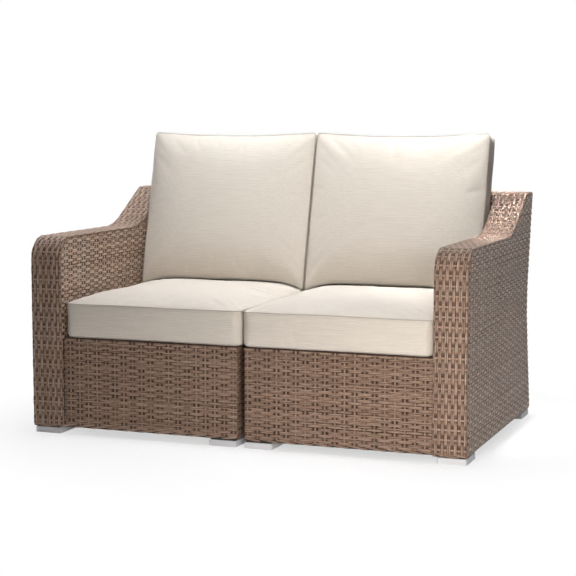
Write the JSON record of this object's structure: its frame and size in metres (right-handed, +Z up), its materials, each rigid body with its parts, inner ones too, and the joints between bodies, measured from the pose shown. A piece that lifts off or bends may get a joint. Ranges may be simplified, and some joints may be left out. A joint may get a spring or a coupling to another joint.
{
  "type": "patio loveseat",
  "caption": "Woven patio loveseat of armed modules side by side, with swept arms, low foot pads and loose boxed seat and back cushions.",
  "frame": {"origin": "middle of the whole loveseat's footprint, at floor level", "axes": "+X to the sitter's-eye right of the front view, along the width; +Y to the back; +Z up"},
  "size_m": [1.46, 0.9, 0.9734],
  "materials": {
    "wicker": "woven synthetic strand, satin",
    "frame_tube": "powder coated",
    "foot_pad": "satin",
    "foot_plate": "black powder coat",
    "stud_steel": "zinc plated",
    "cushion_cover": "slub weave outdoor fabric",
    "cushion_core": "foam"
  },
  "bodies": {
    "left_module": {"left_apron_weave": "wicker", "left_arm_band_weave": "wicker", "left_arm_base_rails": "frame_tube", "left_arm_hoops": "frame_tube", "left_arm_inner_weave": "wicker", "left_arm_outer_weave": "wicker", "left_arm_rungs": "frame_tube", "left_back_arm_upright": "frame_tube", "left_back_front_weave": "wicker", "left_back_inner_upright": "frame_tube", "left_back_rails": "frame_tube", "left_back_rear_weave": "wicker", "left_base_front_rail": "frame_tube", "left_base_inner_rail": "frame_tube", "left_base_rear_rail": "frame_tube", "left_foot_pads": "foot_pad", "left_foot_plates": "foot_plate", "left_foot_studs": "stud_steel", "left_front_leg": "frame_tube", "left_inner_side_weave": "wicker", "left_rear_arm_legs": "frame_tube", "left_rear_leg": "frame_tube", "left_seat_cross_rails": "frame_tube", "left_seat_deck_weave": "wicker", "left_seat_inner_rail": "frame_tube", "left_seat_outer_rail": "frame_tube"},
    "left_seat_cushion": {"left_seat_cover": "cushion_cover", "left_seat_foam": "cushion_core"},
    "left_back_cushion": {"left_pillow_cover": "cushion_cover", "left_pillow_fill": "cushion_core"},
    "right_module": {"right_apron_weave": "wicker", "right_arm_band_weave": "wicker", "right_arm_base_rails": "frame_tube", "right_arm_hoops": "frame_tube", "right_arm_inner_weave": "wicker", "right_arm_outer_weave": "wicker", "right_arm_rungs": "frame_tube", "right_back_arm_upright": "frame_tube", "right_back_front_weave": "wicker", "right_back_inner_upright": "frame_tube", "right_back_rails": "frame_tube", "right_back_rear_weave": "wicker", "right_base_front_rail": "frame_tube", "right_base_inner_rail": "frame_tube", "right_base_rear_rail": "frame_tube", "right_foot_pads": "foot_pad", "right_foot_plates": "foot_plate", "right_foot_studs": "stud_steel", "right_front_leg": "frame_tube", "right_inner_side_weave": "wicker", "right_rear_arm_legs": "frame_tube", "right_rear_leg": "frame_tube", "right_seat_cross_rails": "frame_tube", "right_seat_deck_weave": "wicker", "right_seat_inner_rail": "frame_tube", "right_seat_outer_rail": "frame_tube"},
    "right_seat_cushion": {"right_seat_cover": "cushion_cover", "right_seat_foam": "cushion_core"},
    "right_back_cushion": {"right_pillow_cover": "cushion_cover", "right_pillow_fill": "cushion_core"}
  },
  "joints": [
    {"name": "right_module_slide", "type": "slide", "parent": "left_module", "child": "right_module", "axis": [1, 0, 0], "range_m": [0, 0.5]},
    {"name": "left_seat_cushion_lift", "type": "slide", "parent": "left_module", "child": "left_seat_cushion", "axis": [0, 0, 1], "range_m": [0, 0.4]},
    {"name": "left_back_cushion_lift", "type": "slide", "parent": "left_seat_cushion", "child": "left_back_cushion", "axis": [0, 0, 1], "range_m": [0, 0.5]},
    {"name": "right_seat_cushion_lift", "type": "slide", "parent": "right_module", "child": "right_seat_cushion", "axis": [0, 0, 1], "range_m": [0, 0.4]},
    {"name": "right_back_cushion_lift", "type": "slide", "parent": "right_seat_cushion", "child": "right_back_cushion", "axis": [0, 0, 1], "range_m": [0, 0.5]}
  ]
}
